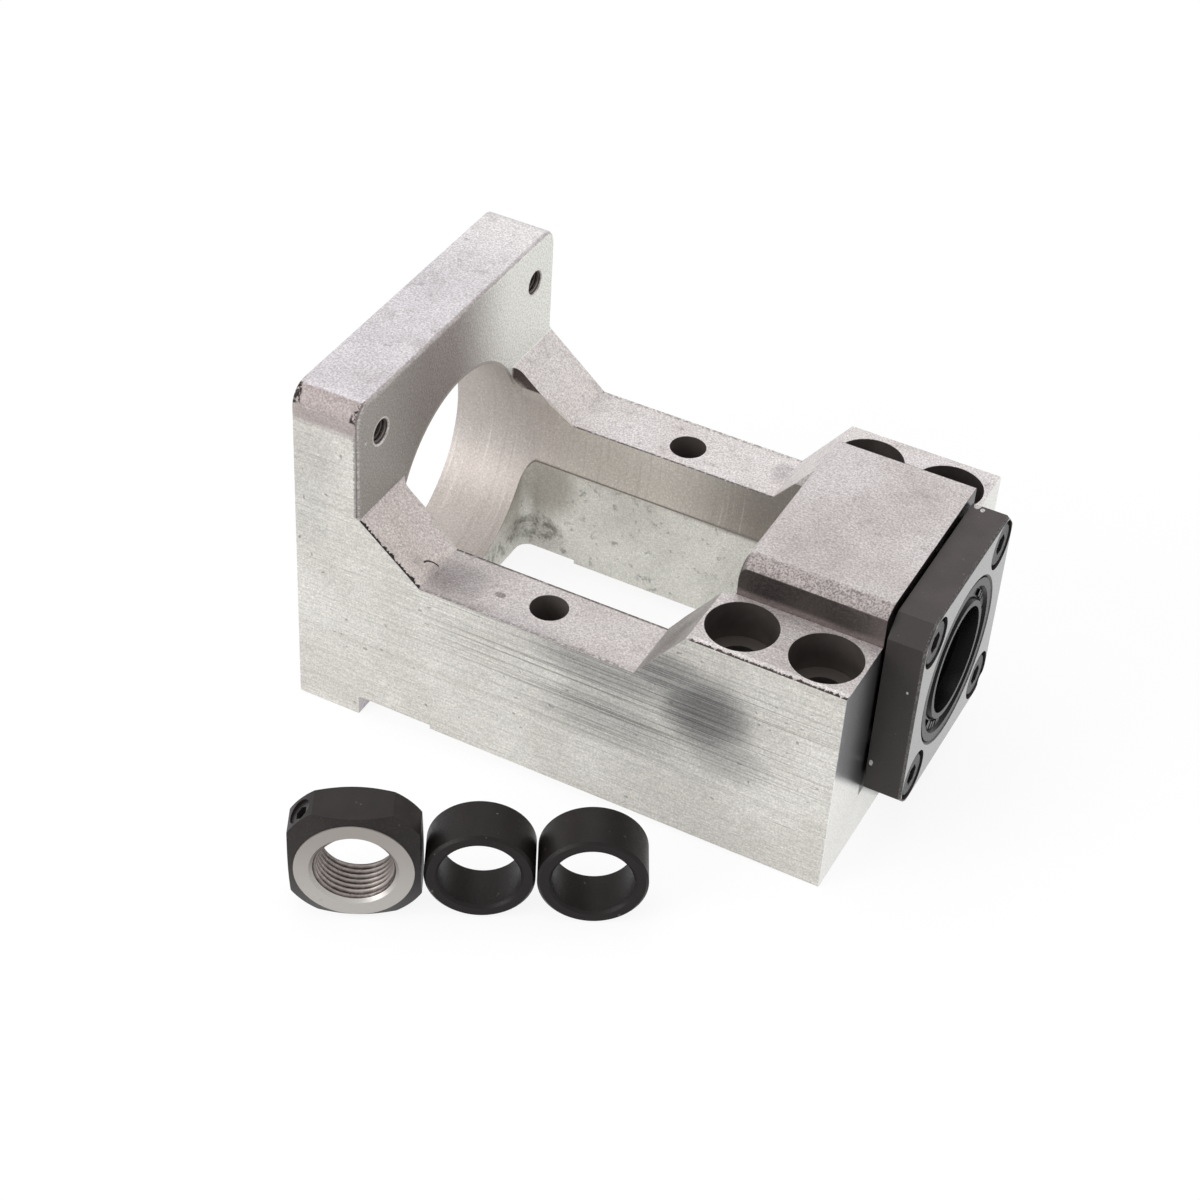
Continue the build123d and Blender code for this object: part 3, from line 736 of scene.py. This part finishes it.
def cover_material():
    """Black plate: satin sides, lighter on top with painted light, pale chips, a worn front bevel that
    also carries a painted highlight, and a glossy front.
    """
    material, tree, shader = new_material("cover_black_oxide")
    place, normal = place_in_mm(tree)
    x, y, z = parts_of(place)
    normal_x, normal_y, normal_z = parts_of(normal)
    cloud = noise(place, 7.0, 3.0)
    grain = noise(place, 0.35, 3.0, 0.6)
    dust = noise(place, 0.9, 2.0, 0.5)
    # Painted light: the top lighter than the sides
    face = mix(ramp(normal_z, 0.2, 0.8), colour(48, 43, 41), colour(70, 62, 62))
    cut_corner = all_of(ramp(normal_z, 0.2, 0.4), ramp(normal_z, 0.9, 0.8))
    face = mix(cut_corner, face, colour(40, 34, 33))
    face = mix(ramp(cloud, 0.35, 0.65, 0.0, 0.3), face, colour(40, 35, 34))
    on_front = ramp(normal_x, 0.9, 0.97)
    front = mix(ramp(cloud, 0.35, 0.65), colour(60, 58, 57), colour(44, 42, 41))
    face = mix(on_front, face, front)
    # Pale front bevel: worn edge and painted highlight
    bevel = all_of(ramp(normal_x, 0.2, 0.4), ramp(normal_x, 0.95, 0.85))
    bevel = all_of(bevel, ramp(x, cover_high.x - 0.6, cover_high.x - 0.3))
    face = mix(all_of(bevel, ramp(grain, 0.46, 0.6, 0.25, 1.0)), face, colour(104, 100, 98))
    top_chips = any_of(*(blot(x, y, *chip) for chip in cover_top_chips))
    side_chips = any_of(*(blot(x, z, *chip) for chip in cover_side_chips))
    top_chips = all_of(top_chips, ramp(normal_z, 0.8, 0.9))
    side_chips = all_of(side_chips, ramp(normal_y, -0.8, -0.9))
    chips = all_of(any_of(top_chips, side_chips), ramp(grain, 0.36, 0.44))
    face = mix(ramp(chips, 0.2, 0.5), face, colour(196, 194, 192))
    face = mix(ramp(dust, 0.74, 0.79, 0.0, 0.5), face, colour(128, 122, 118))
    feed(shader.inputs["Base Color"], face)
    shader.inputs["Metallic"].default_value = 0.2
    feed(shader.inputs["Specular IOR Level"], mix_value(on_front, 0.5, 0.9))
    feed(shader.inputs["Coat Weight"], mix_value(on_front, 0.0, 0.85))
    shader.inputs["Coat Roughness"].default_value = 0.22
    feed(shader.inputs["Roughness"], mix_value(on_front, ramp(grain, 0.3, 0.7, 0.4, 0.52), 0.26))
    feed(shader.inputs["Normal"], bump(grain, 0.02))
    return material


def lock_nut_material():
    """Blackened nut with a ground bright ring round its front countersink, paler towards the bottom with
    painted light, and pale worn edges.
    """
    material, tree, shader = new_material("lock_nut_black_and_ground")
    place, normal = place_in_mm(tree)
    axis = Vector(nut_thread["axis"])
    centre = Vector(nut_thread["pos_m"]) / MM
    offset, along, radius = from_axis(place, centre, axis)
    height = parts_of(offset)["Z"]
    front = nut_thickness / 2
    at_front = ramp(along, front - 0.25, front - 0.15)
    on_ring = all_of(at_front, ramp(radius, nut_ring_radius + 0.02, nut_ring_radius + 0.1, 1.0, 0.0))
    in_bore = ramp(radius, nut_mouth_radius + 0.05, nut_mouth_radius + 0.15, 1.0, 0.0)
    bright = any_of(on_ring, in_bore)
    facing = vector_step("DOT_PRODUCT", normal, axis)["Value"]
    bevel = all_of(ramp(facing, 0.15, 0.3), ramp(facing, 0.95, 0.85))
    cloud = noise(place, 5.0, 3.0)
    stain = noise(place, 2.4, 3.0, 0.6)
    grain = noise(place, 0.3, 3.0, 0.6)
    dust = noise(place, 0.7, 2.0, 0.5)
    black = mix(ramp(cloud, 0.35, 0.65), colour(40, 34, 34), colour(33, 28, 28))
    black = mix(all_of(bevel, ramp(grain, 0.45, 0.7, 0.0, 0.3)), black, colour(66, 61, 60))
    black = mix(ramp(dust, 0.72, 0.78, 0.0, 0.5), black, colour(128, 122, 118))
    # Painted light: the ground faces paler towards the bottom
    ground = mix(ramp(height, 8.0, -8.0), colour(160, 154, 149), colour(186, 182, 178))
    ground = mix(ramp(stain, 0.6, 0.75, 0.0, 0.4), ground, colour(160, 152, 142))
    feed(shader.inputs["Base Color"], mix(bright, black, ground))
    feed(shader.inputs["Metallic"], mix_value(bright, 0.2, 0.7))
    feed(shader.inputs["Specular IOR Level"], mix_value(bright, 0.3, 0.5))
    feed(shader.inputs["Roughness"], mix_value(bright, 0.42, 0.4))
    feed(shader.inputs["Normal"], bump(grain, 0.01))
    return material


def rubber_material():
    """Black rubber, nearly even, with a soft gloss."""
    material, tree, shader = new_material("seal_rubber")
    place, _ = place_in_mm(tree)
    grain = noise(place, 0.4, 3.0)
    face = mix(ramp(grain, 0.3, 0.7), colour(14, 13, 13), colour(11, 10, 10))
    feed(shader.inputs["Base Color"], face)
    shader.inputs["Specular IOR Level"].default_value = 0.15
    feed(shader.inputs["Roughness"], ramp(grain, 0.3, 0.7, 0.24, 0.32))
    feed(shader.inputs["Normal"], bump(grain, 0.004))
    return material


def bearing_steel_material():
    """Ground and polished steel with faint turning marks."""
    material, tree, shader = new_material("bearing_steel")
    place, _ = place_in_mm(tree)
    rings = noise(stretched(place, (1.0, 0.1, 0.1)), 0.3, 3.0)
    face = mix(ramp(rings, 0.3, 0.7), colour(206, 207, 209), colour(186, 187, 190))
    feed(shader.inputs["Base Color"], face)
    shader.inputs["Metallic"].default_value = 1.0
    feed(shader.inputs["Roughness"], ramp(rings, 0.3, 0.7, 0.16, 0.26))
    return material


def cage_material():
    """Moulded cage plastic, warm and slightly mottled."""
    material, tree, shader = new_material("cage_plastic")
    place, _ = place_in_mm(tree)
    grain = noise(place, 0.8, 3.0)
    face = mix(ramp(grain, 0.3, 0.7), colour(214, 203, 176), colour(200, 188, 160))
    feed(shader.inputs["Base Color"], face)
    feed(shader.inputs["Roughness"], ramp(grain, 0.3, 0.7, 0.42, 0.55))
    return material


def brass_material():
    """Plain brass of the slug under the set screw."""
    material, tree, shader = new_material("pad_brass")
    place, _ = place_in_mm(tree)
    grain = noise(place, 0.5, 3.0)
    face = mix(ramp(grain, 0.3, 0.7), colour(205, 175, 100), colour(188, 156, 84))
    feed(shader.inputs["Base Color"], face)
    shader.inputs["Metallic"].default_value = 1.0
    shader.inputs["Roughness"].default_value = 0.35
    return material


def thread_material(name, centre, axis, core, nominal, crest, root):
    """Cut thread: bright on its crests, with painted shade darkening its roots."""
    material, tree, shader = new_material(name)
    place, _ = place_in_mm(tree)
    _, _, radius = from_axis(place, centre, axis)
    marks = noise(place, 0.8, 2.0)
    # Painted shade: darker towards the roots of the thread
    depth = ramp(radius, core + 0.05, nominal - 0.02)
    depth = calc("ADD", depth, ramp(marks, 0.3, 0.7, -0.1, 0.1), clamp=True)
    feed(shader.inputs["Base Color"], mix(depth, crest, root))
    shader.inputs["Metallic"].default_value = 0.7
    feed(shader.inputs["Roughness"], ramp(marks, 0.3, 0.7, 0.34, 0.44))
    return material


# Threads


def grid_mesh(name, points, closed_u, closed_v):
    """Mesh of a grid of points, joined round in u or v where that direction is closed. A tube that is
    open in u gets a flat face at each end."""
    rows, columns = points.shape[:2]
    index = np.arange(rows * columns).reshape(rows, columns)
    if closed_u:
        index = np.concatenate([index, index[:1]], axis=0)
    if closed_v:
        index = np.concatenate([index, index[:, :1]], axis=1)
    corners = (index[:-1, :-1], index[:-1, 1:], index[1:, 1:], index[1:, :-1])
    faces = np.stack(corners, axis=-1).reshape(-1, 4).tolist()
    if closed_v and not closed_u:
        faces += [index[0, -2::-1].tolist(), index[-1, :-1].tolist()]
    mesh = bpy.data.meshes.new(name)
    mesh.from_pydata(points.reshape(-1, 3), [], faces)
    mesh.update()
    return mesh


def fit(name, mesh, material):
    """Puts the mesh on the bracket as a piece of its own, with its finish."""
    piece = bpy.data.objects.new(name, mesh)
    bpy.context.scene.collection.objects.link(piece)
    mesh.materials.append(material)
    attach(piece, "bracket")


def thread_sleeve(name, middle, axis, length, nominal, core, pitch, material):
    """Inner thread of a bore. Its radius at angle a and height h is that of a triangle wave with one
    period per pitch, pushed along by a / full turn, cut to the bore's radius by a cone at each mouth.
    The outside is a plain cylinder at the bore's wall, so the sleeve is closed."""
    steps_round = 96
    steps_per_pitch = 12
    steps_along = int(round(length / pitch * steps_per_pitch))
    flank = 1.35
    crest_flat = 0.12
    into_wall = 0.01
    turn = np.linspace(0, 2 * np.pi, steps_round, endpoint=False)[:, None]
    height = np.linspace(-length / 2, length / 2, steps_along)[None, :]
    wave = np.abs(((height / pitch - turn / (2 * np.pi)) % 1.0) * 2 - 1)
    inner = core + (nominal - core) * np.clip(wave * flank - crest_flat, 0, 1)
    mouth = nominal - (length / 2 - np.abs(height))
    inner = np.minimum(nominal, np.maximum(inner, mouth))
    outer = np.full_like(inner, nominal + into_wall)
    radius = np.concatenate([inner, outer[:, ::-1]], axis=1)
    level = np.broadcast_to(np.concatenate([height, height[:, ::-1]], axis=1), radius.shape)
    local = np.stack([radius * np.cos(turn), radius * np.sin(turn), level], axis=-1)
    towards = np.array(axis, float)
    towards /= np.linalg.norm(towards)
    side = np.cross([0.0, 0.0, 1.0] if abs(towards[2]) < 0.9 else [1.0, 0.0, 0.0], towards)
    side /= np.linalg.norm(side)
    third = np.cross(towards, side)
    points = (local @ np.array([side, third, towards])) * MM + np.array(middle)
    mesh = grid_mesh(name, points, True, True)
    mesh.polygons.foreach_set("use_smooth", [True] * len(mesh.polygons))
    fit(name, mesh, material)


def seal_marks(name, face, spans, material):
    """Raised marks on the seal's face. Each one is a bar bent round the axis: its outline in radius
    and x is a rectangle, swept through the angles of its span, with a flat face at each end."""
    top = face + seal_mark_height
    for number, (start, stop) in enumerate(spans, start=1):
        turn = np.radians(np.linspace(start, stop, 9))[:, None]
        radius = np.array([[seal_mark_inside, seal_mark_outside, seal_mark_outside, seal_mark_inside]])
        level = np.array([[face, face, top, top]])
        radius = np.repeat(radius, len(turn), axis=0)
        level = np.repeat(level, len(turn), axis=0)
        points = np.stack([level, radius * np.cos(turn), radius * np.sin(turn)], axis=-1) * MM
        fit(f"{name}_{number}", grid_mesh(name, points, False, True), material)


# Finishes of the pieces that the frame holds
finishes = {
    "bracket_body": bracket_material(),
    "bearing_cover": cover_material(),
    "lock_nut": lock_nut_material(),
    "nut_thread_pad": brass_material(),
}
screw_finish = black_oxide_material("screw_black_oxide", 36, 30, 0.7)
collar_finish = black_oxide_material("collar_black_oxide", 30, 27, 0.25)
rubber = rubber_material()
bearing_steel = bearing_steel_material()
cage_plastic = cage_material()


def finish_of(node):
    """The finish that a frame piece gets, by its name."""
    if node in finishes:
        return finishes[node]
    if node.startswith("cover_screw") or node == "nut_set_screw":
        return screw_finish
    if node.startswith("spacer_collar"):
        return collar_finish
    if node.endswith("seal"):
        return rubber
    if node.endswith("cage"):
        return cage_plastic
    return bearing_steel


for node_name, piece in nodes.items():
    piece.data.materials.clear()
    piece.data.materials.append(finish_of(node_name))


# Threads of the lock nut and of the four motor holes
nut_finish = thread_material(
    "nut_thread_cut",
    Vector(nut_thread["pos_m"]) / MM,
    Vector(nut_thread["axis"]),
    nut_core,
    nut_thread["dims"]["r_mm"],
    colour(172, 163, 158),
    colour(62, 54, 51),
)
thread_sleeve(
    "lock_nut_thread_turns",
    nut_thread["pos_m"],
    nut_thread["axis"],
    nut_thread["dims"]["length_mm"],
    nut_thread["dims"]["r_mm"],
    nut_core,
    nut_pitch,
    nut_finish,
)
for number, (side, level) in enumerate(((-1, 1), (1, 1), (1, -1), (-1, -1)), start=1):
    reach = flange_thickness - tap_mouth if level > 0 else tap_depth
    middle = Vector((reach / 2, side * tap_step, level * tap_step))
    tap_finish = thread_material(
        f"tap_thread_cut_{number}",
        middle,
        Vector((1, 0, 0)),
        tap_core,
        tap_radius,
        colour(120, 110, 105),
        colour(48, 42, 40),
    )
    thread_sleeve(
        f"motor_hole_thread_{number}",
        middle * MM,
        (1, 0, 0),
        reach,
        tap_radius,
        tap_core,
        tap_pitch,
        tap_finish,
    )


# Raised marks round the face of the cover's seal
seal_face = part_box("cover_seal")[1].x / MM - seal_recess
seal_marks("cover_seal_mark", seal_face, seal_mark_spans, rubber)


# Floor, light and camera


def seen_by_camera(tree):
    """1 where the camera sees the surface: straight, in a mirror or through something clear."""
    seen = tree.nodes.new("ShaderNodeLightPath").outputs
    return any_of(seen["Is Camera Ray"], seen["Is Glossy Ray"], seen["Is Transmission Ray"])


def floor():
    """Pale floor on which the bracket's foot and the far end of its base stand."""
    reach = 3.0
    gap = 0.02
    corners = np.array([[-1, -1], [1, -1], [1, 1], [-1, 1]]) * reach
    level = foot_level + (corners[:, 0] / MM - foot_length) * rest_slope
    points = np.column_stack([corners, (level - gap) * MM])
    mesh = bpy.data.meshes.new("floor")
    mesh.from_pydata(points.tolist(), [], [(0, 1, 2, 3)])
    piece = bpy.data.objects.new("floor", mesh)
    bpy.context.scene.collection.objects.link(piece)
    material = bpy.data.materials.new("floor_pale")
    material.use_nodes = True
    tree = material.node_tree
    tree.nodes.clear()
    plain = tree.nodes.new("ShaderNodeBsdfDiffuse")
    plain.inputs["Color"].default_value = (0.86, 0.86, 0.86, 1)
    glow = tree.nodes.new("ShaderNodeEmission")
    glow.inputs["Color"].default_value = (1, 1, 1, 1)
    glow.inputs["Strength"].default_value = 1.04
    joined = tree.nodes.new("ShaderNodeMixShader")
    feed(joined.inputs[0], times(seen_by_camera(tree), 0.85))
    feed(joined.inputs[1], plain.outputs[0])
    feed(joined.inputs[2], glow.outputs[0])
    output = tree.nodes.new("ShaderNodeOutputMaterial")
    feed(output.inputs["Surface"], joined.outputs[0])
    mesh.materials.append(material)


def studio_light():
    """White surroundings, a broad soft lamp above and a weaker one in front on the left."""
    world = bpy.data.worlds.new("studio")
    bpy.context.scene.world = world
    world.use_nodes = True
    tree = world.node_tree
    tree.nodes.clear()
    background = tree.nodes.new("ShaderNodeBackground")
    background.inputs["Color"].default_value = (1, 1, 1, 1)
    feed(background.inputs["Strength"], mix_value(seen_by_camera(tree), 0.6, 1.0))
    output = tree.nodes.new("ShaderNodeOutputWorld")
    feed(output.inputs["Surface"], background.outputs[0])
    middle = Vector((0.045, 0, 0))
    for name, place, size, power in (
        ("lamp_above", (-0.15, 0.05, 0.9), 0.9, 2.6),
        ("lamp_front_left", (-0.5, -0.8, 0.45), 0.6, 5.0),
    ):
        lamp = bpy.data.lights.new(name, "AREA")
        lamp.size = size
        lamp.energy = power
        holder = bpy.data.objects.new(name, lamp)
        holder.location = place
        holder.rotation_euler = (middle - Vector(place)).to_track_quat("-Z", "Y").to_euler()
        bpy.context.scene.collection.objects.link(holder)


def camera():
    """Camera at the photograph's angle and distance."""
    stand = Vector((171.16, -284.24, 249.11)) * MM
    ahead = Vector((-0.32581, 0.69340, -0.64269)).normalized()
    above = Vector((-0.33500, 0.55101, 0.76431)).normalized()
    across = ahead.cross(above).normalized()
    above = across.cross(ahead)
    turn = Matrix((across, above, -ahead)).transposed()
    lens = bpy.data.cameras.new("camera")
    lens.sensor_width = 36.0
    lens.lens = 76.86
    lens.clip_start = 0.01
    holder = bpy.data.objects.new("camera", lens)
    bpy.context.scene.collection.objects.link(holder)
    holder.matrix_world = Matrix.Translation(stand) @ turn.to_4x4()
    bpy.context.scene.camera = holder


floor()
studio_light()
camera()
bpy.context.scene.view_settings.view_transform = "Standard"
